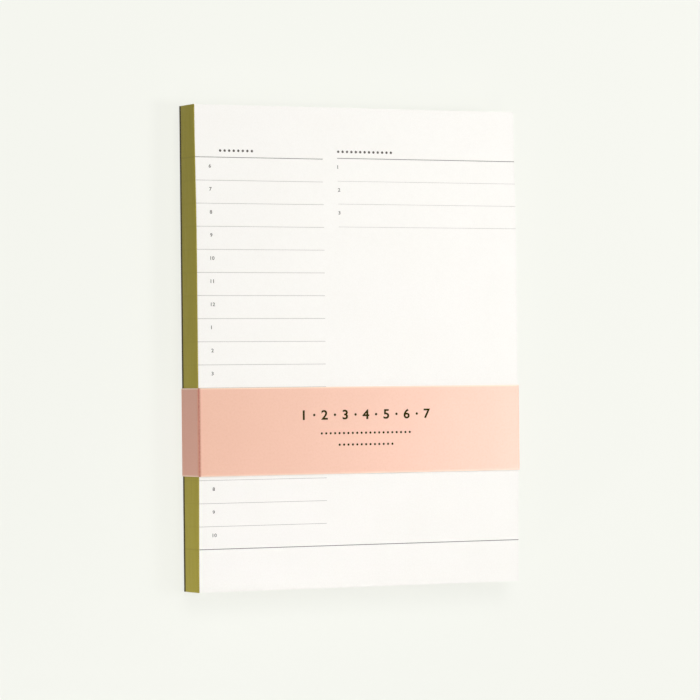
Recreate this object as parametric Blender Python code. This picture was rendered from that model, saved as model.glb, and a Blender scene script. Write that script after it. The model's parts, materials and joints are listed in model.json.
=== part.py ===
"""A daily planner pad: a stack of tear-off sheets on a board, glued along its left edge, in a paper band.

The pad lies on its back. X runs across the page, Y up the page and Z out of the page, in metres.
The origin is under the middle of the pad, on the surface that the pad lies on.
"""

import bpy
import bmesh
from mathutils import Vector

# Sheets and board
PAGE_WIDTH = 0.1524
PAGE_HEIGHT = 0.2032
SHEET_COUNT = 100
SHEET_THICKNESS = 0.000130
SHEET_AIR = 0.000009
BOARD_THICKNESS = 0.0015

# Glue along the bound edge
GLUE_THICKNESS = 0.0004
GLUE_GAP = 0.00001

# Paper band round the pad
BAND_PAPER = 0.00025
BAND_HEIGHT = 0.0367
BAND_FOOT = 0.0482
BAND_SIDE_GAP = 0.0003
BAND_FRONT_GAP = 0.0002
BAND_BACK_GAP = 0.00002
CREASE_GAP = 0.00002
TAB_LENGTH = 0.0125
EDGE_PANEL_STEP = 0.001

# Glued seam of the band, on the pad's right edge
SEAM_THICKNESS = 0.00009
SEAM_GAP = 0.00003
SEAM_MARGIN = 0.0015

# How the sheets are divided into pieces, counted from the top
TURNING_SHEETS = 8
SINGLE_SHEETS = 32
SHEETS_IN_A_LIFT = 4

# Colours and roughness
PAGE_LOOK = ((0.955, 0.945, 0.915), 0.85)
BOARD_LOOK = ((0.250, 0.215, 0.160), 0.9)
GLUE_LOOK = ((0.270, 0.231, 0.050), 0.6)
BAND_LOOK = ((0.930, 0.600, 0.490), 0.8)
SEAM_LOOK = ((0.800, 0.760, 0.640), 0.4)

# Places that follow from the sizes
LEFT_BUILD = GLUE_GAP + GLUE_THICKNESS + BAND_SIDE_GAP + BAND_PAPER
SEAM_SPACE = SEAM_GAP + SEAM_THICKNESS + SEAM_GAP
RIGHT_BUILD = BAND_SIDE_GAP + BAND_PAPER + SEAM_SPACE + BAND_PAPER
PAGE_LEFT = (LEFT_BUILD - RIGHT_BUILD - PAGE_WIDTH) / 2
PAGE_RIGHT = PAGE_LEFT + PAGE_WIDTH
PAGE_FOOT = -PAGE_HEIGHT / 2
PAGE_HEAD = PAGE_HEIGHT / 2
BOARD_BACK = BAND_PAPER + BAND_BACK_GAP
BOARD_FRONT = BOARD_BACK + BOARD_THICKNESS
SHEET_PITCH = SHEET_THICKNESS + SHEET_AIR
STACK_TOP = BOARD_FRONT + SHEET_COUNT * SHEET_PITCH
GLUE_INNER = PAGE_LEFT - GLUE_GAP
GLUE_OUTER = GLUE_INNER - GLUE_THICKNESS
BAND_LEFT = PAGE_LEFT - LEFT_BUILD
BAND_RIGHT = PAGE_RIGHT + RIGHT_BUILD
BAND_LOW = PAGE_FOOT + BAND_FOOT
BAND_HIGH = BAND_LOW + BAND_HEIGHT
BAND_FRONT = STACK_TOP + BAND_FRONT_GAP


def make_material(name, look):
    """A plain finish from a colour and a roughness."""
    colour, roughness = look
    material = bpy.data.materials.new(name)
    material.use_nodes = True
    shader = material.node_tree.nodes["Principled BSDF"]
    shader.inputs["Base Color"].default_value = (*colour, 1.0)
    shader.inputs["Roughness"].default_value = roughness
    shader.inputs["Metallic"].default_value = 0.0
    return material


def make_carrier(name, place, carrier=None):
    """An empty that carries the pieces of one moving body, on that body's axis."""
    empty = bpy.data.objects.new(name, None)
    bpy.context.scene.collection.objects.link(empty)
    empty.parent = carrier
    empty.location = Vector(place) - (carrier.matrix_world.translation if carrier else Vector())
    bpy.context.view_layer.update()
    return empty


def make_slab(name, across, along, out, look, carrier):
    """A flat piece between two values of X, of Y and of Z, riding on its carrier."""
    low, high = (Vector(corner) for corner in zip(across, along, out))
    shape = bmesh.new()
    bmesh.ops.create_cube(shape, size=1.0)
    bmesh.ops.scale(shape, vec=high - low, verts=shape.verts)
    mesh = bpy.data.meshes.new(name)
    shape.to_mesh(mesh)
    shape.free()
    mesh.materials.append(make_material(name, look))
    piece = bpy.data.objects.new(name, mesh)
    bpy.context.scene.collection.objects.link(piece)
    piece.parent = carrier
    piece.location = (low + high) / 2 - carrier.matrix_world.translation
    return piece


def sheet_back(number):
    """Height of the underside of a sheet, the top one being number 1."""
    return BOARD_FRONT + SHEET_AIR + (SHEET_COUNT - number) * SHEET_PITCH


def make_sheets(name, first, last, carrier):
    """One sheet, or several that lie together as one lift."""
    across = (PAGE_LEFT, PAGE_RIGHT)
    along = (PAGE_FOOT, PAGE_HEAD)
    out = (sheet_back(last), sheet_back(first) + SHEET_THICKNESS)
    return make_slab(name, across, along, out, PAGE_LOOK, carrier)


def make_board_and_glue(pad):
    """The backing board, and the coat of glue that binds it and the sheets along the left edge."""
    along = (PAGE_FOOT, PAGE_HEAD)
    board_out = (BOARD_BACK, BOARD_FRONT)
    make_slab("backing_board", (PAGE_LEFT, PAGE_RIGHT), along, board_out, BOARD_LOOK, pad)
    glue_out = (BOARD_BACK, STACK_TOP)
    make_slab("padding_glue", (GLUE_OUTER, GLUE_INNER), along, glue_out, GLUE_LOOK, pad)


def make_stack(pad):
    """The sheets: the top ones turn on the glued edge, and the rest lie single or in lifts."""
    for number in range(1, SINGLE_SHEETS + 1):
        carrier = pad
        if number <= TURNING_SHEETS:
            hinge_line = (PAGE_LEFT, 0.0, BAND_FRONT)
            carrier = make_carrier(f"leaf_{number}", hinge_line, pad)
        make_sheets(f"sheet_{number:03d}", number, number, carrier)
    for first in range(SINGLE_SHEETS + 1, SHEET_COUNT + 1, SHEETS_IN_A_LIFT):
        last = min(first + SHEETS_IN_A_LIFT - 1, SHEET_COUNT)
        make_sheets(f"sheets_{first:03d}_to_{last:03d}", first, last, pad)


def make_band(pad):
    """The paper band: back, spine and edge panels that slide together, and a front that folds open."""
    along = (BAND_LOW, BAND_HIGH)
    middle = (BAND_LOW + BAND_HIGH) / 2
    band = make_carrier("band", (0.0, middle, 0.0), pad)
    edge_inner = PAGE_RIGHT + BAND_SIDE_GAP
    edge_outer = edge_inner + BAND_PAPER
    upright_low = BAND_PAPER + CREASE_GAP
    upright_high = BAND_FRONT - CREASE_GAP
    edge_high = STACK_TOP - EDGE_PANEL_STEP

    def panel(name, across, out, carrier):
        return make_slab(name, across, along, out, BAND_LOOK, carrier)

    panel("band_back_panel", (BAND_LEFT, edge_outer), (0.0, BAND_PAPER), band)
    panel("band_spine_panel", (BAND_LEFT, BAND_LEFT + BAND_PAPER), (upright_low, upright_high), band)
    panel("band_edge_panel", (edge_inner, edge_outer), (upright_low, edge_high), band)

    tab_inner = edge_outer + SEAM_SPACE
    tab_low = BAND_FRONT - TAB_LENGTH
    seam_across = (edge_outer + SEAM_GAP, edge_outer + SEAM_GAP + SEAM_THICKNESS)
    seam_along = (BAND_LOW + SEAM_MARGIN, BAND_HIGH - SEAM_MARGIN)
    seam_out = (tab_low + SEAM_MARGIN, edge_high - SEAM_MARGIN)
    make_slab("band_seam_glue", seam_across, seam_along, seam_out, SEAM_LOOK, band)

    band_front = make_carrier("band_front", (BAND_LEFT, middle, BAND_FRONT), band)
    front_out = (BAND_FRONT, BAND_FRONT + BAND_PAPER)
    panel("band_front_panel", (BAND_LEFT, BAND_RIGHT), front_out, band_front)
    panel("band_front_tab", (tab_inner, BAND_RIGHT), (tab_low, upright_high), band_front)


def main():
    for old in list(bpy.data.objects):
        bpy.data.objects.remove(old)
    pad = make_carrier("pad", (0.0, 0.0, 0.0))
    make_board_and_glue(pad)
    make_stack(pad)
    make_band(pad)


main()
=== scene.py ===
"""Looks of the daily planner pad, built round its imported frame.

Printed sheets are glued along their left edge with olive padding glue, on a grey board,
and a pink paper band is wrapped round the block and stuck at its right edge.
All lengths are in metres.
"""

import json
import math
import random

import bmesh
import bpy
from mathutils import Matrix, Vector

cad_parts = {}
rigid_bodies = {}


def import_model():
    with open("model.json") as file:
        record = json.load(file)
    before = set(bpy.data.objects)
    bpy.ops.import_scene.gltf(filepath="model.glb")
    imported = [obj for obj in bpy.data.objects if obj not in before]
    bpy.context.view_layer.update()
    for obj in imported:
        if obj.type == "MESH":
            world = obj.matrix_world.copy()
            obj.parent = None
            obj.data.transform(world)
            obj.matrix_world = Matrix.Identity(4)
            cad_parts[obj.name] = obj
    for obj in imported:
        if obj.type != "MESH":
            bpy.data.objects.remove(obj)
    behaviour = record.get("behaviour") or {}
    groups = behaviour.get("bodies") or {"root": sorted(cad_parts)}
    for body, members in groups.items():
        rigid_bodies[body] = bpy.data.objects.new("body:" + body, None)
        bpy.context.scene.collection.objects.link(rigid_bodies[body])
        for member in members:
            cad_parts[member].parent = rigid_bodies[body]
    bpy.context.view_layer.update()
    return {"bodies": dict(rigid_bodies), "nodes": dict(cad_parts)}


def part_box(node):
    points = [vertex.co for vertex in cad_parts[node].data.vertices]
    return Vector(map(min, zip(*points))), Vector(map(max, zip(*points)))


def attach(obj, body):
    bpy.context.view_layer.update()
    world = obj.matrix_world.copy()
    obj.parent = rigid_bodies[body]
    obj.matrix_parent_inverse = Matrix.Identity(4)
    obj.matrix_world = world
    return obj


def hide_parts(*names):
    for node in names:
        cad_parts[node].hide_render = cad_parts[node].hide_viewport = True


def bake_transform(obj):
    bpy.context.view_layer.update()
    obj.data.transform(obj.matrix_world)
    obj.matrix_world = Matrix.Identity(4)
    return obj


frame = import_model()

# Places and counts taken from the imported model
page_low, page_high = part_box("sheet_001")
board_low, board_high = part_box("backing_board")
glue_low, glue_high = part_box("padding_glue")
front_low, front_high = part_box("band_front_panel")
seam_low, seam_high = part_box("band_seam_glue")
tab_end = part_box("band_front_tab")[0].z
band_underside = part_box("band_back_panel")[0].z
edge_panel_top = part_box("band_edge_panel")[1].z
page_width = page_high.x - page_low.x
stack_depth = page_high.z - board_high.z
turning_count = sum(body.startswith("leaf_") for body in frame["bodies"])
printed_count = turning_count + 1

# Ruling of the page, measured right from its left edge and down from its head
LEFT_HEADING_DROP = 0.02197
RIGHT_HEADING_DROP = 0.0215
FIRST_ROW_DROP = 0.03165
LAST_RULE_DROP = 0.18527
ROW_PITCH = 0.00961
HOUR_ROWS = 17
LISTED_PITCH = 0.0097
LISTED_ROWS = 3
LEFT_COLUMN_END = 0.0593
RIGHT_COLUMN_START = 0.0662
HEADING_RULE = 0.00025
LAST_RULE = 0.00029
HOUR_RULE = 0.00016
LISTED_RULE = 0.00012

# Numbers and dots on the page
FIRST_HOUR = 6
CLOCK_HOURS = 12
HOUR_INDENT = 0.0061
NUMERAL_DROP = 0.0037
NUMERAL_HEIGHT = 0.0015
NUMERAL_WEIGHT = 0.015
NUMERAL_CURVE_STEPS = 3
NUMERAL_BREADTH = 1.15
LEFT_HEADING_START = 0.0115
LEFT_HEADING_DOTS = 8
RIGHT_HEADING_DOTS = 13
HEADING_DOT_RISE = 0.0028
HEADING_DOT_SIZE = 0.0011
HEADING_DOT_PITCH = 0.0021
DOT_SIDES = 16
INK_RISE = 0.000006

# Bending of the sheets that turn, thinning of the block and error of the trimming knife
BEND_START = 0.0015
BEND_END = 0.030
BEND_STEPS = 28
HEAD_DROOP = 0.0012
FOOT_DROOP = 0.0009
DROOP_REACH = 0.060
DROOP_STEPS = 24
droop_step = (page_high.y - page_low.y) / DROOP_STEPS
TRIM_ERROR = 0.00014
DRAW_SEED = 6

# Padding glue and board
GLUE_ROUNDING = 0.00012
GLUE_ROUNDING_STEPS = 3
GLUE_UNEVENNESS = 0.00003
SHARP_CORNER = math.radians(50)
TICK_REACH = 0.0005
HALF_ROW = 0.5
OVER_BOARD_REACH = 0.0003
BOARD_ROUNDING = 0.00018
BOARD_ROUNDING_STEPS = 2

# Paper band and the paste of its seam
BAND_STOCK = 0.00013
GLUE_CLEARANCE = 0.00011
EDGE_CLEARANCE = 0.00002
HEAD_EDGE_LAP = 0.0001
SEAM_FILM = 0.00003
SEAM_GAP = 0.000005
SEAM_UNEVENNESS = 0.0004
SEAM_CUTS = 14
LEFT_CREASE_RADIUS = 0.00075
RIGHT_CREASE_RADIUS = 0.0003
BACK_CREASE_RADIUS = 0.0003
CREASE_STEPS = 6
SPINE_BREAK = 0.0008
BREAK_GAP = 0.00001
FOLD_START = 0.0003
FOLD_END = 0.0009
FOLD_STEPS = 6
CREASE_INSET = 0.0006
CREASE_REACH = 0.0011
CUT_EDGE_REACH = 0.0008
band_left = glue_low.x - GLUE_CLEARANCE - BAND_STOCK
band_front = front_high.z
band_head = front_high.y + HEAD_EDGE_LAP
band_foot = front_low.y
edge_face = page_high.x + EDGE_CLEARANCE + BAND_STOCK
tab_face = edge_face + SEAM_FILM + 2 * SEAM_GAP + BAND_STOCK
band_middle = (band_left + tab_face) / 2

# Print on the band, placed from the page's left edge and from the band's middle
BAND_PRINT_CENTRE = 0.0779
TITLE_RISE = 0.00665
TITLE_NUMERALS = 7
TITLE_PITCH = 0.0098
TITLE_HEIGHT = 0.0041
TITLE_WEIGHT = 0.024
TITLE_CURVE_STEPS = 6
TITLE_DOT_SIZE = 0.0011
SECOND_ROW_RISE = -0.00115
SECOND_ROW_DOTS = 21
THIRD_ROW_RISE = -0.00605
THIRD_ROW_DOTS = 13
BAND_DOT_PITCH = 0.0021
BAND_DOT_SIZE = 0.0010

# Camera: angles in radians, its place from the middle of the page, and its focal length in pixels
VIEW_TURN = 0.4739
VIEW_TILT = -0.00865
VIEW_ROLL = -0.01055
VIEW_AWAY = 1.6294
VIEW_ASIDE = -0.0047
VIEW_ABOVE = -0.00112
FOCUS_PIXELS = 3841.5
FRAME_PIXELS = 700
SENSOR_WIDTH = 36.0
NEAREST_VIEW = 0.05

# Floor and lights
FLOOR_SIZE = 6.0
FLOOR_DROP = 0.0002
FLOOR_GLOW = 0.83
BROAD_SIDE = 0.8
HEAD_LIGHT_PLACE = (-0.1, 0.8, 1.5)
HEAD_LIGHT_WATTS = 18.1
FOOT_LIGHT_PLACE = (-0.2, -0.8, 1.5)
FOOT_LIGHT_WATTS = 5.45
RIGHT_LIGHT_PLACE = (0.75, -0.06, 1.0)
RIGHT_LIGHT_SIDE = 0.26
RIGHT_LIGHT_WATTS = 6.0
FILL_PLACE = (-0.55, -0.55, 0.14)
FILL_AIM = (-0.077, -0.14, 0)
FILL_SIDE = 0.08
FILL_WATTS = 0.048
FILL_SPREAD = math.radians(26)
AIR_COLOUR = (1.0, 0.99, 0.97, 1)
AIR_STRENGTH = 0.05

# Material slots of the inks on the printed sheets and on the band; slot 0 is the paper
HEAVY_INK_SLOT, FINE_INK_SLOT, NUMERAL_INK_SLOT = range(1, 4)
BAND_INK_SLOT = 1

# Tolerances of the mesh work
CUT_TOLERANCE = 1e-7
SAME_PLACE = 1e-6
LENGTHWISE = 1e-3
ROW_DIGITS = 5
FACING_UP = 0.5


# Mesh helpers

def give_slot(verts, slot):
    """Gives the faces round these vertices their material slot."""
    for vert in verts:
        for face in vert.link_faces:
            face.material_index = slot


def add_block(bm, low, high):
    """Adds a block between two corners."""
    verts = bmesh.ops.create_cube(bm, size=1.0)["verts"]
    bmesh.ops.scale(bm, vec=high - low, verts=verts)
    bmesh.ops.translate(bm, vec=(low + high) / 2, verts=verts)


def add_dot(bm, centre, size, slot):
    """Adds a flat round dot of ink, printed on the surface at centre."""
    verts = bmesh.ops.create_cone(
        bm, cap_ends=True, segments=DOT_SIDES, radius1=size / 2, radius2=size / 2, depth=2 * INK_RISE
    )["verts"]
    bmesh.ops.translate(bm, vec=centre, verts=verts)
    give_slot(verts, slot)


def add_dot_row(bm, first, count, pitch, size, slot):
    """Adds a row of dots that runs to the right from the centre of its first dot."""
    for index in range(count):
        add_dot(bm, first + Vector((index * pitch, 0, 0)), size, slot)


def take_in(bm, mesh):
    """Adds a mesh and gives back its own vertices."""
    before = set(bm.verts)
    bm.from_mesh(mesh)
    return [vert for vert in bm.verts if vert not in before]


def add_numeral(bm, number, centre, height, weight, steps, slot, from_left=False):
    """Adds a printed number of that height; centre is its middle, or the middle of its left side."""
    curve = bpy.data.curves.new("numeral", "FONT")
    curve.body = str(number)
    curve.resolution_u = steps
    curve.extrude = weight
    curve.bevel_depth = weight
    curve.bevel_resolution = 0
    text = bpy.data.objects.new("numeral", curve)
    mesh = bpy.data.meshes.new_from_object(text)
    bpy.data.objects.remove(text)
    bpy.data.curves.remove(curve)
    verts = take_in(bm, mesh)
    bpy.data.meshes.remove(mesh)
    give_slot(verts, slot)
    left = min(v.co.x for v in verts)
    right = max(v.co.x for v in verts)
    low = min(v.co.y for v in verts)
    high = max(v.co.y for v in verts)
    anchor = Vector((left if from_left else (left + right) / 2, (low + high) / 2, 0))
    scale = height / (high - low)
    bmesh.ops.translate(bm, vec=-anchor, verts=verts)
    bmesh.ops.scale(bm, vec=(NUMERAL_BREADTH * scale, scale, INK_RISE / (2 * weight)), verts=verts)
    bmesh.ops.translate(bm, vec=centre, verts=verts)


def cut_through(bm, place, direction):
    """Cuts every face along a plane, without taking anything away."""
    geometry = bm.verts[:] + bm.edges[:] + bm.faces[:]
    bmesh.ops.bisect_plane(bm, geom=geometry, dist=CUT_TOLERANCE, plane_co=place, plane_no=direction)


def cut_for_droop(bm):
    """Cuts across the page's length, so that it can follow the droop of the block."""
    for index in range(1, DROOP_STEPS):
        cut_through(bm, Vector((0, page_low.y + index * droop_step, 0)), Vector((0, 1, 0)))


def round_edges(bm, edges, radius, steps):
    """Rounds these edges over."""
    bmesh.ops.bevel(
        bm, geom=edges, offset=radius, offset_type="OFFSET",
        affect="EDGES", segments=steps, profile=0.5, material=-1,
    )


def runs_lengthwise(edge):
    """Whether an edge runs along the page's length."""
    first, second = edge.verts
    return abs(first.co.y - second.co.y) > LENGTHWISE


def lay_paper_map(bm, place_of):
    """Writes the piece's own map, in metres of paper."""
    layer = bm.loops.layers.uv.new("paper")
    for face in bm.faces:
        for loop in face.loops:
            loop[layer].uv = place_of(loop.vert.co)


def swell(offset, reach):
    """A smooth hump: 1 at its middle and 0 from reach outwards."""
    return 0.5 + 0.5 * math.cos(math.pi * min(abs(offset) / reach, 1))


def droop_curve(y):
    """The smooth droop towards the head and the foot."""
    head = HEAD_DROOP * swell(y - page_high.y, DROOP_REACH)
    foot = FOOT_DROOP * swell(y - page_low.y, DROOP_REACH)
    return head + foot


def droop_at(y):
    """How far the block's front lies below its full depth, straight from one cut to the next."""
    below = min(max(math.floor((y - page_low.y) / droop_step), 0), DROOP_STEPS - 1)
    share = (y - page_low.y) / droop_step - below
    low = droop_curve(page_low.y + below * droop_step)
    high = droop_curve(page_low.y + (below + 1) * droop_step)
    return low + share * (high - low)


def droop_block(bm):
    """Lets the block thin towards its head and foot; the board below stays flat."""
    for vert in bm.verts:
        share = max(0, (vert.co.z - board_high.z) / stack_depth)
        vert.co.z -= share * droop_at(vert.co.y)


def kept_mesh(bm, name):
    """Turns the shape into a mesh."""
    mesh = bpy.data.meshes.new(name)
    bm.to_mesh(mesh)
    bm.free()
    return mesh


def finished(bm, name, materials, smooth=False):
    """Turns the shape into a piece at the origin."""
    mesh = kept_mesh(bm, name)
    for material in materials:
        mesh.materials.append(material)
    if smooth:
        mesh.shade_smooth()
        mesh.set_sharp_from_angle(angle=SHARP_CORNER)
    piece = bpy.data.objects.new(name, mesh)
    bpy.context.scene.collection.objects.link(piece)
    return piece


# Shader helpers

def paint(red, green, blue):
    """A colour in linear light, from its usual values of 0 to 255."""
    def linear(value):
        share = value / 255
        return share / 12.92 if share <= 0.04045 else ((share + 0.055) / 1.055) ** 2.4
    return (linear(red), linear(green), linear(blue), 1)


def set_input(tree, socket, value):
    """Links a socket to another node's output, or gives it a plain value."""
    if isinstance(value, bpy.types.NodeSocket):
        tree.links.new(value, socket)
    else:
        socket.default_value = value


def add_node(tree, kind, settings=None, **inputs):
    """Adds a node; the names of its inputs are written with _ for a space."""
    made = tree.nodes.new(kind)
    for name, value in (settings or {}).items():
        setattr(made, name, value)
    for name, value in inputs.items():
        set_input(tree, made.inputs[name.replace("_", " ")], value)
    return made


def calculate(tree, operation, *values):
    """The result of one sum."""
    made = add_node(tree, "ShaderNodeMath", {"operation": operation})
    for socket, value in zip(made.inputs, values):
        set_input(tree, socket, value)
    return made.outputs[0]


def rescale(tree, value, from_low, from_high, to_low, to_high):
    """A value carried smoothly from one range to another."""
    made = add_node(
        tree, "ShaderNodeMapRange", {"interpolation_type": "SMOOTHSTEP"}, Value=value,
        From_Min=from_low, From_Max=from_high, To_Min=to_low, To_Max=to_high,
    )
    return made.outputs["Result"]


def growing_share(tree, value, low, high, most):
    """A share that grows from nothing at the low value to its most at the high one."""
    return rescale(tree, value, low, high, 0.0, most)


def mix_colour(tree, share, first, second):
    """The first colour, with that share of the second."""
    made = tree.nodes.new("ShaderNodeMix")
    made.data_type = "RGBA"
    colours = [socket for socket in made.inputs if socket.type == "RGBA"]
    set_input(tree, made.inputs[0], share)
    set_input(tree, colours[0], first)
    set_input(tree, colours[1], second)
    return next(socket for socket in made.outputs if socket.type == "RGBA")


def noise(tree, vector, scale, detail):
    """Cloudy noise, with its scale in repeats to the metre."""
    made = add_node(tree, "ShaderNodeTexNoise", Vector=vector, Scale=scale, Detail=detail)
    return made.outputs["Fac"]


def stretched_noise(tree, vector, repeats, detail):
    """Noise with its own repeats to the metre along each axis."""
    spread = add_node(tree, "ShaderNodeMapping", Vector=vector, Scale=repeats)
    return noise(tree, spread.outputs["Vector"], scale=1.0, detail=detail)


def new_group(name, inputs, outputs):
    """A shader node group with named sockets; gives back its tree, its entry and its exit."""
    tree = bpy.data.node_groups.new(name, "ShaderNodeTree")
    for label, kind in inputs:
        tree.interface.new_socket(name=label, in_out="INPUT", socket_type=kind)
    for label in outputs:
        tree.interface.new_socket(name=label, in_out="OUTPUT", socket_type="NodeSocketFloat")
    return tree, tree.nodes.new("NodeGroupInput").outputs, tree.nodes.new("NodeGroupOutput").inputs


# Repeats to the metre along the three axes, of the two ways that fibres lie
FIBRES_ALONG = (2600.0, 500.0, 2600.0)
FIBRES_ACROSS = (500.0, 2600.0, 2600.0)
CLOUD_SCALE = 45.0
GRAIN_HEIGHT = 0.6


def fibre_group():
    """Paper stock: slow clouding, fine grain and crossed fibres, at a real size in metres."""
    tree, entry, leave = new_group(
        "paper fibres",
        [("Vector", "NodeSocketVector"), ("Grain Scale", "NodeSocketFloat")],
        ["Cloud", "Grain", "Height"],
    )
    vector = entry["Vector"]
    cloud = noise(tree, vector, CLOUD_SCALE, detail=2.0)
    grain = noise(tree, vector, entry["Grain Scale"], detail=4.0)
    along = stretched_noise(tree, vector, FIBRES_ALONG, detail=2.0)
    across = stretched_noise(tree, vector, FIBRES_ACROSS, detail=2.0)
    fibres = calculate(tree, "ADD", along, across)
    height = calculate(tree, "MULTIPLY_ADD", grain, GRAIN_HEIGHT, fibres)
    tree.links.new(cloud, leave["Cloud"])
    tree.links.new(grain, leave["Grain"])
    tree.links.new(height, leave["Height"])
    return tree


def line_group():
    """A soft line on the surface: 1 where a measure passes a place, 0 from its reach outwards."""
    tree, entry, leave = new_group(
        "soft line",
        [("Measure", "NodeSocketFloat"), ("Place", "NodeSocketFloat"), ("Reach", "NodeSocketFloat")],
        ["Mask"],
    )
    away = calculate(tree, "ABSOLUTE", calculate(tree, "SUBTRACT", entry["Measure"], entry["Place"]))
    mask = rescale(tree, away, 0.0, entry["Reach"], 1.0, 0.0)
    tree.links.new(mask, leave["Mask"])
    return tree


FIBRES = fibre_group()
SOFT_LINE = line_group()


def add_fibres(tree, vector, grain_scale):
    return add_node(
        tree, "ShaderNodeGroup", {"node_tree": FIBRES}, Vector=vector, Grain_Scale=grain_scale
    ).outputs


def add_line(tree, measure, place, reach):
    return add_node(
        tree, "ShaderNodeGroup", {"node_tree": SOFT_LINE}, Measure=measure, Place=place, Reach=reach
    ).outputs["Mask"]


def new_material(name):
    """A material with an emptied tree and one Principled shader."""
    material = bpy.data.materials.new(name)
    material.use_nodes = True
    tree = material.node_tree
    tree.nodes.clear()
    shader = tree.nodes.new("ShaderNodeBsdfPrincipled")
    surface = tree.nodes.new("ShaderNodeOutputMaterial")
    tree.links.new(shader.outputs["BSDF"], surface.inputs["Surface"])
    return material, tree, shader


def paper_map(tree):
    return add_node(tree, "ShaderNodeUVMap", {"uv_map": "paper"}).outputs["UV"]


def object_place(tree):
    return tree.nodes.new("ShaderNodeTexCoord").outputs["Object"]


def separate(tree, place):
    """The three measures of a place."""
    return add_node(tree, "ShaderNodeSeparateXYZ", Vector=place).outputs


# Range that most of the grain lies in
GRAIN_LOW = 0.3
GRAIN_HIGH = 0.7


def follow_grain(tree, fibres, low, high):
    """A value that goes from low to high with the grain."""
    return rescale(tree, fibres["Grain"], GRAIN_LOW, GRAIN_HIGH, low, high)


def set_roughness(tree, shader, fibres, smooth, rough):
    """Roughness that follows the grain."""
    set_input(tree, shader.inputs["Roughness"], follow_grain(tree, fibres, smooth, rough))


def add_bump(tree, shader, height, strength, depth):
    """Relief of the surface, with its depth in metres."""
    bump = add_node(tree, "ShaderNodeBump", Height=height, Strength=strength, Distance=depth)
    tree.links.new(bump.outputs["Normal"], shader.inputs["Normal"])


# Colours

PAGE_CREAM = paint(243, 241, 236)
PAGE_WHITE = paint(246, 244, 240)
PAGE_SPECK = paint(234, 231, 224)
# Greyer layers of the trimmed edges: partly the sheets' own tone, partly painted shade between them
TRIMMED_GREY_AND_SHADE = paint(212, 208, 198)
HEAVY_INK = (paint(92, 88, 84), paint(120, 116, 112))
FINE_INK = (paint(160, 157, 152), paint(182, 179, 174))
NUMERAL_INK = (paint(70, 66, 60), paint(98, 94, 88))
BAND_INK = (paint(44, 42, 8), paint(64, 60, 22))
BAND_PINK = paint(229, 179, 155)
BAND_PALE_PINK = paint(233, 184, 160)
BAND_SPECK = paint(223, 169, 144)
# Painted shade of the band's spine panel, a deeper pink
BAND_SPINE_SHADE = paint(212, 139, 123)
# Paler cut edges of the band: partly the paper's core, partly a painted highlight
BAND_EDGE_CORE_AND_HIGHLIGHT = paint(248, 222, 200)
# Painted shade along the band's creases
BAND_CREASE_SHADE = paint(172, 90, 74)
GLUE_OLIVE = paint(165, 153, 60)
GLUE_PALE_OLIVE = paint(174, 161, 69)
GLUE_SHEET_LINE = paint(139, 126, 42)
GLUE_TICK = paint(96, 88, 40)
GLUE_OVER_BOARD = paint(72, 64, 30)
BOARD_GREY = paint(150, 140, 124)
BOARD_PALE_GREY = paint(166, 156, 140)
BOARD_DARK_FLECK = paint(96, 86, 72)
BOARD_PALE_FLECK = paint(190, 182, 168)
PASTE_CREAM = paint(226, 204, 160)
PASTE_YELLOW = paint(214, 184, 140)
FLOOR_WHITE = paint(245, 246, 239)

# Repeats to the metre along the three axes
TRIMMED_LAYERS = (25.0, 25.0, 5200.0)
GLUE_STRANDS = (900.0, 60.0, 6200.0)
GLUE_BRUSH_MARKS = (300.0, 22.0, 420.0)
BOARD_FLECKS = 800.0

# How strongly a mark tints what it lies on; the band spine's share is painted shade, and the cut edges'
# share is partly a painted highlight
SPINE_SHADE_SHARE = 0.6
CUT_EDGE_HIGHLIGHT_SHARE = 0.8
FINE_TICK_SHARE = 0.06
HEAVY_TICK_SHARE = 0.2


# Materials

def add_page_stock(tree, shader, place):
    """Uncoated white writing paper with a warm cast; gives back its colour."""
    fibres = add_fibres(tree, place, grain_scale=1400.0)
    clouded = mix_colour(tree, fibres["Cloud"], PAGE_CREAM, PAGE_WHITE)
    grained = growing_share(tree, fibres["Grain"], low=0.35, high=0.65, most=0.2)
    set_roughness(tree, shader, fibres, smooth=0.62, rough=0.78)
    shader.inputs["Specular IOR Level"].default_value = 0.3
    add_bump(tree, shader, fibres["Height"], strength=0.15, depth=0.00002)
    return mix_colour(tree, grained, clouded, PAGE_SPECK)


def page_paper():
    """The printed sheets, whose grain turns over with the paper."""
    material, tree, shader = new_material("uncoated page paper")
    set_input(tree, shader.inputs["Base Color"], add_page_stock(tree, shader, paper_map(tree)))
    return material


def block_paper():
    """The stacked sheets, of which the trimmed edges show, some a little greyer than others: partly
    their own tone and partly painted shade between the sheets.
    """
    material, tree, shader = new_material("trimmed sheet edges")
    place = object_place(tree)
    colour = add_page_stock(tree, shader, place)
    # Greyer layers along the edges: partly the sheets' own tone, partly painted shade between the sheets
    layers = stretched_noise(tree, place, TRIMMED_LAYERS, detail=2.0)
    greyer_and_shaded = growing_share(tree, layers, low=0.42, high=0.68, most=0.55)
    set_input(tree, shader.inputs["Base Color"], mix_colour(tree, greyer_and_shaded, colour, TRIMMED_GREY_AND_SHADE))
    return material


def printing_ink(name, colours):
    """Ink in its full and its thin colour, where it lets a little of the paper through."""
    full, thin = colours
    material, tree, shader = new_material(name)
    fibres = add_fibres(tree, paper_map(tree), grain_scale=3200.0)
    thinness = growing_share(tree, fibres["Grain"], low=0.4, high=0.75, most=0.7)
    set_input(tree, shader.inputs["Base Color"], mix_colour(tree, thinness, full, thin))
    set_roughness(tree, shader, fibres, smooth=0.65, rough=0.8)
    shader.inputs["Specular IOR Level"].default_value = 0.0
    add_bump(tree, shader, fibres["Height"], strength=0.1, depth=0.00001)
    return material


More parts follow.
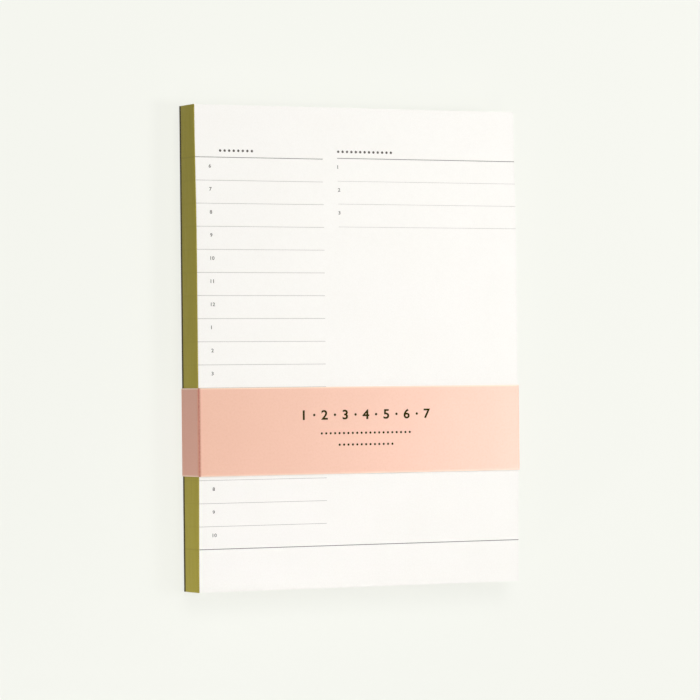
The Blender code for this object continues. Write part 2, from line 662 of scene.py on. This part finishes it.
def band_paper(name, creases):
    """Dusty pink paper, with painted shade on its spine panel and along its creases, and paler along its
    cut edges, partly the paper's core and partly a painted highlight.
    """
    material, tree, shader = new_material(name)
    place = paper_map(tree)
    measure = separate(tree, place)
    fibres = add_fibres(tree, place, grain_scale=1100.0)
    clouded = mix_colour(tree, fibres["Cloud"], BAND_PINK, BAND_PALE_PINK)
    grained = growing_share(tree, fibres["Grain"], low=0.4, high=0.7, most=0.25)
    colour = mix_colour(tree, grained, clouded, BAND_SPECK)
    # Painted shade: the spine panel, left of the front's crease, is darkened towards a deeper pink
    spine_shade = rescale(tree, measure["X"], -CREASE_INSET, 0.0, SPINE_SHADE_SHARE, 0.0)
    colour = mix_colour(tree, spine_shade, colour, BAND_SPINE_SHADE)
    # Paler cut edges at foot and head: partly the paper's core, partly a painted highlight
    for cut in (band_foot, band_head):
        edge = add_line(tree, measure["Y"], cut, CUT_EDGE_REACH)
        pale = calculate(tree, "MULTIPLY", edge, CUT_EDGE_HIGHLIGHT_SHARE)
        colour = mix_colour(tree, pale, colour, BAND_EDGE_CORE_AND_HIGHLIGHT)
    # Painted shade along each crease, broken up by the grain
    for crease in creases:
        fold = add_line(tree, measure["X"], crease, CREASE_REACH)
        crease_shade = calculate(tree, "MULTIPLY", fold, follow_grain(tree, fibres, low=0.75, high=0.95))
        colour = mix_colour(tree, crease_shade, colour, BAND_CREASE_SHADE)
    set_input(tree, shader.inputs["Base Color"], colour)
    set_roughness(tree, shader, fibres, smooth=0.28, rough=0.38)
    add_bump(tree, shader, fibres["Height"], strength=0.1, depth=0.00001)
    return material


def hour_ticks(tree, height):
    """Where the ends of the hour rules lie on the glued edge, at that height on the page."""
    first_rule = page_high.y - FIRST_ROW_DROP
    last_row = HOUR_ROWS - 2
    rows = calculate(tree, "DIVIDE", calculate(tree, "SUBTRACT", first_rule, height), ROW_PITCH)
    off_row = calculate(tree, "MULTIPLY", calculate(tree, "PINGPONG", rows, HALF_ROW), ROW_PITCH)
    below_first = calculate(tree, "GREATER_THAN", rows, -HALF_ROW)
    above_last = calculate(tree, "LESS_THAN", rows, last_row + HALF_ROW)
    ruled = calculate(tree, "MULTIPLY", below_first, above_last)
    return calculate(tree, "MULTIPLY", ruled, add_line(tree, off_row, 0.0, TICK_REACH))


def padding_glue():
    """Olive padding glue brushed on the sheets' edges, which show through as fine lines."""
    material, tree, shader = new_material("olive padding glue")
    place = object_place(tree)
    measure = separate(tree, place)
    strands = stretched_noise(tree, place, GLUE_STRANDS, detail=3.0)
    brushed = stretched_noise(tree, place, GLUE_BRUSH_MARKS, detail=3.0)
    fibres = add_fibres(tree, place, grain_scale=1600.0)
    colour = mix_colour(tree, brushed, GLUE_OLIVE, GLUE_PALE_OLIVE)
    lines = growing_share(tree, strands, low=0.45, high=0.7, most=0.4)
    colour = mix_colour(tree, lines, colour, GLUE_SHEET_LINE)
    ticks = calculate(tree, "MULTIPLY", hour_ticks(tree, measure["Y"]), FINE_TICK_SHARE)
    colour = mix_colour(tree, ticks, colour, GLUE_TICK)
    for drop in (LEFT_HEADING_DROP, LAST_RULE_DROP):
        tick = add_line(tree, measure["Y"], page_high.y - drop, TICK_REACH)
        dark = calculate(tree, "MULTIPLY", tick, HEAVY_TICK_SHARE)
        colour = mix_colour(tree, dark, colour, GLUE_TICK)
    board_end = board_high.z + OVER_BOARD_REACH
    over_board = rescale(tree, measure["Z"], board_high.z, board_end, 1.0, 0.0)
    colour = mix_colour(tree, over_board, colour, GLUE_OVER_BOARD)
    set_input(tree, shader.inputs["Base Color"], colour)
    set_roughness(tree, shader, fibres, smooth=0.62, rough=0.8)
    shader.inputs["Specular IOR Level"].default_value = 0.2
    add_bump(tree, shader, calculate(tree, "ADD", strands, brushed), strength=0.35, depth=0.00004)
    return material


def board_stock():
    """Grey chipboard with darker and paler flecks."""
    material, tree, shader = new_material("grey chipboard")
    place = object_place(tree)
    fibres = add_fibres(tree, place, grain_scale=900.0)
    flecks = noise(tree, place, BOARD_FLECKS, detail=1.0)
    dark = growing_share(tree, flecks, low=0.6, high=0.72, most=0.45)
    pale = growing_share(tree, fibres["Grain"], low=0.6, high=0.75, most=0.5)
    colour = mix_colour(tree, fibres["Cloud"], BOARD_GREY, BOARD_PALE_GREY)
    colour = mix_colour(tree, dark, colour, BOARD_DARK_FLECK)
    colour = mix_colour(tree, pale, colour, BOARD_PALE_FLECK)
    set_input(tree, shader.inputs["Base Color"], colour)
    set_roughness(tree, shader, fibres, smooth=0.75, rough=0.92)
    shader.inputs["Specular IOR Level"].default_value = 0.25
    add_bump(tree, shader, fibres["Height"], strength=0.4, depth=0.00006)
    return material


def seam_paste():
    """Clear paper paste, dried to a faint yellow."""
    material, tree, shader = new_material("dried paper paste")
    fibres = add_fibres(tree, object_place(tree), grain_scale=700.0)
    colour = mix_colour(tree, fibres["Cloud"], PASTE_CREAM, PASTE_YELLOW)
    set_input(tree, shader.inputs["Base Color"], colour)
    set_roughness(tree, shader, fibres, smooth=0.25, rough=0.4)
    add_bump(tree, shader, fibres["Grain"], strength=0.2, depth=0.00003)
    return material


# Sheets

def page_place(right, down):
    """A place on the page's front, measured right from its left edge and down from its head."""
    return Vector((page_low.x + right, page_high.y - down, 0))


def page_rules():
    """Every printed rule: drop from the head, its two ends, its width and its ink."""
    rules = [
        (LEFT_HEADING_DROP, 0, LEFT_COLUMN_END, HEADING_RULE, HEAVY_INK_SLOT),
        (RIGHT_HEADING_DROP, RIGHT_COLUMN_START, page_width, HEADING_RULE, HEAVY_INK_SLOT),
        (LAST_RULE_DROP, 0, page_width, LAST_RULE, HEAVY_INK_SLOT),
    ]
    for row in range(HOUR_ROWS - 1):
        drop = FIRST_ROW_DROP + row * ROW_PITCH
        rules.append((drop, 0, LEFT_COLUMN_END, HOUR_RULE, FINE_INK_SLOT))
    for row in range(1, LISTED_ROWS + 1):
        drop = RIGHT_HEADING_DROP + row * LISTED_PITCH
        rules.append((drop, RIGHT_COLUMN_START, page_width, LISTED_RULE, FINE_INK_SLOT))
    return rules


def print_rules(bm):
    """Cuts the page's face along the edges of its rules and inks the strips between them."""
    rules = page_rules()
    for right in (LEFT_COLUMN_END, RIGHT_COLUMN_START):
        cut_through(bm, page_place(right, 0), Vector((1, 0, 0)))
    edges = {drop + side * width / 2 for drop, _, _, width, _ in rules for side in (-1, 1)}
    for drop in sorted(edges):
        cut_through(bm, page_place(0, drop), Vector((0, 1, 0)))
    for face in bm.faces:
        if face.normal.z < FACING_UP:
            continue
        centre = face.calc_center_median()
        right = centre.x - page_low.x
        down = page_high.y - centre.y
        for drop, start, end, width, slot in rules:
            if abs(down - drop) < width / 2 and start < right < end:
                face.material_index = slot


def print_row_number(bm, number, right, row_drop):
    """Adds the small number of a row whose upper rule lies at that drop."""
    place = page_place(right, row_drop + NUMERAL_DROP)
    add_numeral(
        bm, number, place, NUMERAL_HEIGHT, NUMERAL_WEIGHT, NUMERAL_CURVE_STEPS, NUMERAL_INK_SLOT,
        from_left=True,
    )


def print_numbers(bm):
    """Hours down the left column, a short list on the right, and a row of dots over each column."""
    for row in range(HOUR_ROWS):
        hour = (FIRST_HOUR + row - 1) % CLOCK_HOURS + 1
        print_row_number(bm, hour, HOUR_INDENT, LEFT_HEADING_DROP + row * ROW_PITCH)
    for row in range(LISTED_ROWS):
        print_row_number(bm, row + 1, RIGHT_COLUMN_START, RIGHT_HEADING_DROP + row * LISTED_PITCH)
    headings = (
        (LEFT_HEADING_START, LEFT_HEADING_DROP, LEFT_HEADING_DOTS),
        (RIGHT_COLUMN_START + HEADING_DOT_SIZE / 2, RIGHT_HEADING_DROP, RIGHT_HEADING_DOTS),
    )
    for start, drop, count in headings:
        place = page_place(start, drop - HEADING_DOT_RISE)
        add_dot_row(bm, place, count, HEADING_DOT_PITCH, HEADING_DOT_SIZE, HEAVY_INK_SLOT)


def page_map(place):
    """A place on the sheet, from its lower left corner."""
    return (place.x - page_low.x, place.y - page_low.y)


def blank_sheet():
    """A sheet with its face at height 0."""
    bm = bmesh.new()
    low = Vector((page_low.x, page_low.y, page_low.z - page_high.z))
    high = Vector((page_high.x, page_high.y, 0))
    add_block(bm, low, high)
    return bm


def printed_pattern():
    """One printed sheet, cut so that it can bend near the glue."""
    bm = blank_sheet()
    print_rules(bm)
    print_numbers(bm)
    step = (BEND_END - BEND_START) / BEND_STEPS
    for index in range(BEND_STEPS + 1):
        cut_through(bm, page_place(BEND_START + index * step, 0), Vector((1, 0, 0)))
    cut_for_droop(bm)
    lay_paper_map(bm, page_map)
    return kept_mesh(bm, "printed sheet pattern")


def block_pattern():
    """One sheet of the block, of which only the edges are seen."""
    bm = blank_sheet()
    cut_for_droop(bm)
    return kept_mesh(bm, "block sheet pattern")


def trim_unevenly(verts, draws):
    """Draws in the sheet's head, foot and right edges by the small error of a trimming knife."""
    right = draws.uniform(0, TRIM_ERROR)
    head = draws.uniform(0, TRIM_ERROR)
    foot = draws.uniform(0, TRIM_ERROR)
    for vert in verts:
        if vert.co.x > page_high.x - TRIM_ERROR:
            vert.co.x -= right
        if vert.co.y > page_high.y - TRIM_ERROR:
            vert.co.y -= head
        if vert.co.y < page_low.y + TRIM_ERROR:
            vert.co.y += foot


def add_sheet(bm, pattern, top, draws):
    """Adds one sheet from its pattern, with its face at that height."""
    verts = take_in(bm, pattern)
    bmesh.ops.translate(bm, vec=(0, 0, top), verts=verts)
    trim_unevenly(verts, draws)


def make_printed_sheets(materials, draws):
    """The sheets that turn over, and the printed sheet that they uncover."""
    pattern = printed_pattern()
    for number in range(1, printed_count + 1):
        node = f"sheet_{number:03d}"
        bm = bmesh.new()
        add_sheet(bm, pattern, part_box(node)[1].z, draws)
        droop_block(bm)
        piece = finished(bm, f"printed_sheet_{number:03d}", materials)
        if number <= turning_count:
            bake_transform(piece)
        else:
            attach(piece, "pad")
        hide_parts(node)
    bpy.data.meshes.remove(pattern)


def make_block_sheets(paper, draws):
    """The rest of the block: single sheets, and the lifts of several sheets below them."""
    pattern = block_pattern()
    for node in sorted(frame["nodes"]):
        if not node.startswith("sheet"):
            continue
        numbers = [int(word) for word in node.split("_") if word.isdigit()]
        if numbers[0] <= printed_count:
            continue
        count = numbers[-1] - numbers[0] + 1
        low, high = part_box(node)
        pitch = (high.z - low.z) / count
        bm = bmesh.new()
        for index in range(count):
            add_sheet(bm, pattern, high.z - index * pitch, draws)
        droop_block(bm)
        piece = finished(bm, f"block_{node}", [paper])
        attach(piece, "pad")
        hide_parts(node)
    bpy.data.meshes.remove(pattern)


# Glue and board

def make_padding_glue(material, draws):
    """The glue film over the sheets' left edges, rounded at its long edges and a little uneven."""
    bm = bmesh.new()
    add_block(bm, glue_low, glue_high)
    outer_edges = [
        edge for edge in bm.edges
        if runs_lengthwise(edge) and all(abs(vert.co.x - glue_low.x) < SAME_PLACE for vert in edge.verts)
    ]
    round_edges(bm, outer_edges, GLUE_ROUNDING, GLUE_ROUNDING_STEPS)
    cut_for_droop(bm)
    unevenness = {}
    for vert in bm.verts:
        row = round(vert.co.y, ROW_DIGITS)
        if row not in unevenness:
            unevenness[row] = draws.uniform(0, GLUE_UNEVENNESS)
        if vert.co.x < (glue_low.x + glue_high.x) / 2:
            vert.co.x += unevenness[row]
    droop_block(bm)
    piece = finished(bm, "olive_padding", [material], smooth=True)
    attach(piece, "pad")
    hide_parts("padding_glue")


def make_board(material):
    """The backing board, with its edges eased by the cutting knife."""
    bm = bmesh.new()
    add_block(bm, board_low, board_high)
    round_edges(bm, bm.edges[:], BOARD_ROUNDING, BOARD_ROUNDING_STEPS)
    piece = finished(bm, "grey_board", [material])
    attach(piece, "pad")
    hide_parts("backing_board")


# Band

def lies_at(vert, right, up):
    """Whether a vertex lies at that place, seen from the band's foot."""
    return abs(vert.co.x - right) < SAME_PLACE and abs(vert.co.z - up) < SAME_PLACE


def folded_strip(corners, radii, outward):
    """A strip of band paper with rounded creases, still without its thickness.

    Its outer face follows the corners, given as right and up.
    Outward is 1 if its widest face looks up, and -1 if that looks down.
    """
    bm = bmesh.new()
    verts = [bm.verts.new((right, band_foot, up)) for right, up in corners]
    for first, second in zip(verts, verts[1:]):
        bm.edges.new((first, second))
    drawn = bmesh.ops.extrude_edge_only(bm, edges=bm.edges[:])["geom"]
    moved = [item for item in drawn if isinstance(item, bmesh.types.BMVert)]
    bmesh.ops.translate(bm, vec=(0, band_head - band_foot, 0), verts=moved)
    for (right, up), radius in zip(corners[1:-1], radii):
        crease = [edge for edge in bm.edges if all(lies_at(vert, right, up) for vert in edge.verts)]
        round_edges(bm, crease, radius, CREASE_STEPS)
    bmesh.ops.recalc_face_normals(bm, faces=bm.faces[:])
    widest = max(bm.faces, key=lambda face: face.calc_area())
    if widest.normal.z * outward < 0:
        bmesh.ops.reverse_faces(bm, faces=bm.faces[:])
    return bm


def print_band(bm):
    """Plain numbers and rows of dots in the middle of the band's front."""
    middle = Vector((page_low.x + BAND_PRINT_CENTRE, (front_low.y + front_high.y) / 2, band_front))
    title = middle + Vector((0, TITLE_RISE, 0))
    for index in range(TITLE_NUMERALS):
        offset = (index - (TITLE_NUMERALS - 1) / 2) * TITLE_PITCH
        place = title + Vector((offset, 0, 0))
        add_numeral(
            bm, index + 1, place, TITLE_HEIGHT, TITLE_WEIGHT, TITLE_CURVE_STEPS, BAND_INK_SLOT
        )
        if index > 0:
            add_dot(bm, place - Vector((TITLE_PITCH / 2, 0, 0)), TITLE_DOT_SIZE, BAND_INK_SLOT)
    for rise, count in ((SECOND_ROW_RISE, SECOND_ROW_DOTS), (THIRD_ROW_RISE, THIRD_ROW_DOTS)):
        first = middle + Vector((-(count - 1) / 2 * BAND_DOT_PITCH, rise, 0))
        add_dot_row(bm, first, count, BAND_DOT_PITCH, BAND_DOT_SIZE, BAND_INK_SLOT)


def wrapped_place(place, round_the_edge):
    """A place on the flat band: its distance from the left crease, and its height on the page."""
    along = place.x - band_left
    return (along + math.copysign(round_the_edge, place.x - band_middle), place.y)


def make_band_front(materials):
    """Spine, front and tab in one strip, which folds open at its left crease."""
    corners = (
        (band_left, SPINE_BREAK + BREAK_GAP), (band_left, band_front),
        (tab_face, band_front), (tab_face, tab_end),
    )
    bm = folded_strip(corners, (LEFT_CREASE_RADIUS, RIGHT_CREASE_RADIUS), outward=1)
    step = (FOLD_END - FOLD_START) / FOLD_STEPS
    for index in range(FOLD_STEPS + 1):
        cut_through(bm, Vector((band_left + FOLD_START + index * step, 0, 0)), Vector((1, 0, 0)))
    bmesh.ops.solidify(bm, geom=bm.faces[:], thickness=BAND_STOCK)
    print_band(bm)
    lay_paper_map(bm, lambda place: wrapped_place(place, band_front - place.z))
    piece = finished(bm, "band_front_wrap", materials)
    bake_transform(piece)
    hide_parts("band_spine_panel", "band_front_panel", "band_front_tab")


def make_band_back(material):
    """The strip behind the board, turned up at both edges."""
    corners = (
        (band_left, SPINE_BREAK - BREAK_GAP), (band_left, band_underside),
        (edge_face, band_underside), (edge_face, edge_panel_top),
    )
    bm = folded_strip(corners, (BACK_CREASE_RADIUS, BACK_CREASE_RADIUS), outward=-1)
    bmesh.ops.solidify(bm, geom=bm.faces[:], thickness=BAND_STOCK)
    lay_paper_map(bm, lambda place: wrapped_place(place, place.z - band_underside))
    piece = finished(bm, "band_back_wrap", [material])
    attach(piece, "band")
    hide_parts("band_back_panel", "band_edge_panel")


def make_seam(material, draws):
    """The line of paste under the tab, wavy along its free edges."""
    bm = bmesh.new()
    low = Vector((edge_face + SEAM_GAP, seam_low.y, seam_low.z))
    high = Vector((edge_face + SEAM_GAP + SEAM_FILM, seam_high.y, seam_high.z))
    add_block(bm, low, high)
    lengthwise = [edge for edge in bm.edges if runs_lengthwise(edge)]
    bmesh.ops.subdivide_edges(bm, edges=lengthwise, cuts=SEAM_CUTS, use_grid_fill=True)
    middle = (seam_low.z + seam_high.z) / 2
    waves = {}
    for vert in bm.verts:
        key = (round(vert.co.y, ROW_DIGITS), vert.co.z > middle)
        if key not in waves:
            waves[key] = draws.uniform(0, SEAM_UNEVENNESS)
        vert.co.z += -waves[key] if vert.co.z > middle else waves[key]
    piece = finished(bm, "seam_paste", [material])
    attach(piece, "band")
    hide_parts("band_seam_glue")


# Stage

def make_camera():
    """The camera stands to the left of the page and looks at its middle from far away."""
    data = bpy.data.cameras.new("camera")
    data.sensor_width = SENSOR_WIDTH
    data.lens = SENSOR_WIDTH * FOCUS_PIXELS / FRAME_PIXELS
    data.clip_start = NEAREST_VIEW
    camera = bpy.data.objects.new("camera", data)
    page_middle = Vector(((page_low.x + page_high.x) / 2, (page_low.y + page_high.y) / 2, page_high.z))
    turn = Matrix.Rotation(-VIEW_TURN, 4, "Y")
    tilt = Matrix.Rotation(-VIEW_TILT, 4, "X")
    roll = Matrix.Rotation(VIEW_ROLL, 4, "Z")
    back_away = Matrix.Translation((VIEW_ASIDE, VIEW_ABOVE, VIEW_AWAY))
    camera.matrix_world = Matrix.Translation(page_middle) @ turn @ tilt @ roll @ back_away
    bpy.context.scene.collection.objects.link(camera)
    bpy.context.scene.camera = camera


def make_floor():
    """A plain pale floor that glows a little, so that it stays even and takes faint shadows."""
    bm = bmesh.new()
    bmesh.ops.create_grid(bm, x_segments=1, y_segments=1, size=FLOOR_SIZE / 2)
    bmesh.ops.translate(bm, vec=(0, 0, -FLOOR_DROP), verts=bm.verts[:])
    material = bpy.data.materials.new("pale floor")
    material.use_nodes = True
    tree = material.node_tree
    tree.nodes.clear()
    glow = add_node(tree, "ShaderNodeEmission", Color=FLOOR_WHITE)
    matt = add_node(tree, "ShaderNodeBsdfDiffuse", Color=FLOOR_WHITE)
    mixed = tree.nodes.new("ShaderNodeMixShader")
    mixed.inputs[0].default_value = FLOOR_GLOW
    tree.links.new(matt.outputs["BSDF"], mixed.inputs[1])
    tree.links.new(glow.outputs["Emission"], mixed.inputs[2])
    surface = tree.nodes.new("ShaderNodeOutputMaterial")
    tree.links.new(mixed.outputs["Shader"], surface.inputs["Surface"])
    finished(bm, "floor", [material])


def add_softbox(name, place, side, watts, aim=(0, 0, 0), spread=math.pi):
    """A square soft light; a spread below half a turn is a grid on its front."""
    data = bpy.data.lights.new(name, "AREA")
    data.shape = "SQUARE"
    data.size = side
    data.energy = watts
    data.spread = spread
    light = bpy.data.objects.new(name, data)
    direction = Vector(aim) - Vector(place)
    turn = direction.to_track_quat("-Z", "Y").to_matrix().to_4x4()
    light.matrix_world = Matrix.Translation(place) @ turn
    light.visible_camera = False
    bpy.context.scene.collection.objects.link(light)


def make_light():
    """Broad softboxes beyond head and foot, a small one at the right, a gridded fill and pale air."""
    world = bpy.data.worlds.new("pale air")
    world.use_nodes = True
    background = world.node_tree.nodes["Background"]
    background.inputs["Color"].default_value = AIR_COLOUR
    background.inputs["Strength"].default_value = AIR_STRENGTH
    bpy.context.scene.world = world
    add_softbox("head softbox", HEAD_LIGHT_PLACE, BROAD_SIDE, HEAD_LIGHT_WATTS)
    add_softbox("foot softbox", FOOT_LIGHT_PLACE, BROAD_SIDE, FOOT_LIGHT_WATTS)
    add_softbox("right softbox", RIGHT_LIGHT_PLACE, RIGHT_LIGHT_SIDE, RIGHT_LIGHT_WATTS)
    add_softbox("left fill", FILL_PLACE, FILL_SIDE, FILL_WATTS, aim=FILL_AIM, spread=FILL_SPREAD)
    bpy.context.scene.view_settings.view_transform = "Standard"


def main():
    draws = random.Random(DRAW_SEED)
    page_materials = [
        page_paper(),
        printing_ink("dark grey ink", HEAVY_INK),
        printing_ink("pale grey ink", FINE_INK),
        printing_ink("grey numeral ink", NUMERAL_INK),
    ]
    front_creases = (CREASE_INSET,)
    back_creases = (CREASE_INSET, edge_face - band_left - CREASE_INSET)
    front_paper = band_paper("pink band paper, front", front_creases)
    back_paper = band_paper("pink band paper, back", back_creases)
    make_printed_sheets(page_materials, draws)
    make_block_sheets(block_paper(), draws)
    make_padding_glue(padding_glue(), draws)
    make_board(board_stock())
    make_band_front([front_paper, printing_ink("dark olive ink", BAND_INK)])
    make_band_back(back_paper)
    make_seam(seam_paste(), draws)
    make_camera()
    make_floor()
    make_light()


main()
bpy.context.view_layer.update()
